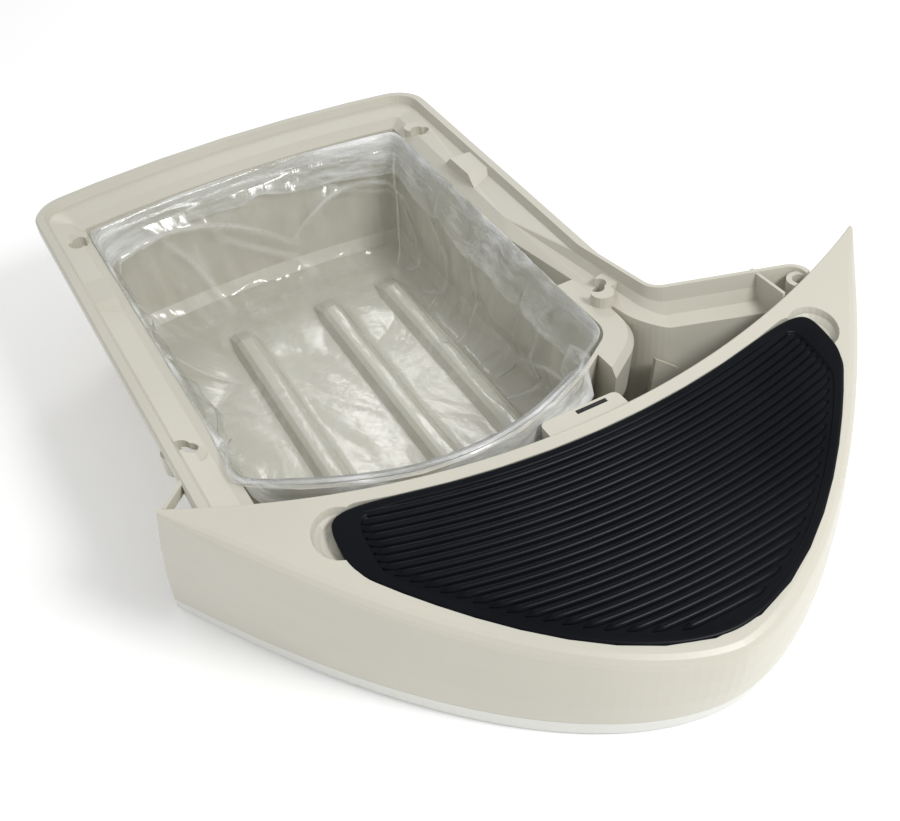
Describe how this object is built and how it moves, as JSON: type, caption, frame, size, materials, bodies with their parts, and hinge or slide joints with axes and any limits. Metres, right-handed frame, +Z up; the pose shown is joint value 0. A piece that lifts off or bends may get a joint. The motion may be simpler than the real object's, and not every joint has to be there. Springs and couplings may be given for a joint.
{
  "type": "pull-out waste drawer",
  "caption": "Pull-out waste drawer: open moulded bin with a clear film liner, and a crescent step in front topped by a ribbed rubber mat.",
  "frame": {"origin": "on the floor, under the middle of the drawer's bounding box", "axes": "+Y towards the bin's rear edge, which is the way the drawer goes into its machine; +Z up; the crescent step is at -Y"},
  "size_m": [0.505, 0.6184, 0.1279],
  "materials": {
    "body_plastic": "satin",
    "cover_plastic": "satin",
    "strip_plastic": "matte",
    "mat_rubber": "satin",
    "liner_film": "gloss",
    "holder_plastic": "satin",
    "filter_foam": "matte",
    "screw_steel": "brushed"
  },
  "bodies": {
    "drawer": {"drawer_tub": "body_plastic", "step_cover": "cover_plastic", "skirt_foot_strip": "strip_plastic", "filter_holder": "holder_plastic", "cover_screw_1": "screw_steel", "cover_screw_2": "screw_steel", "cover_screw_3": "screw_steel", "cover_screw_4": "screw_steel"},
    "mat": {"step_mat": "mat_rubber"},
    "liner": {"liner_bag": "liner_film"},
    "filter": {"carbon_filter": "filter_foam"}
  },
  "joints": [
    {"name": "mat_lift", "type": "slide", "parent": "drawer", "child": "mat", "axis": [0, 0, 1], "range_m": [0, 0.08]},
    {"name": "liner_lift", "type": "slide", "parent": "drawer", "child": "liner", "axis": [0, 0, 1], "range_m": [0, 0.14]},
    {"name": "filter_lift", "type": "slide", "parent": "drawer", "child": "filter", "axis": [0, 0, 1], "range_m": [0, 0.06]}
  ]
}
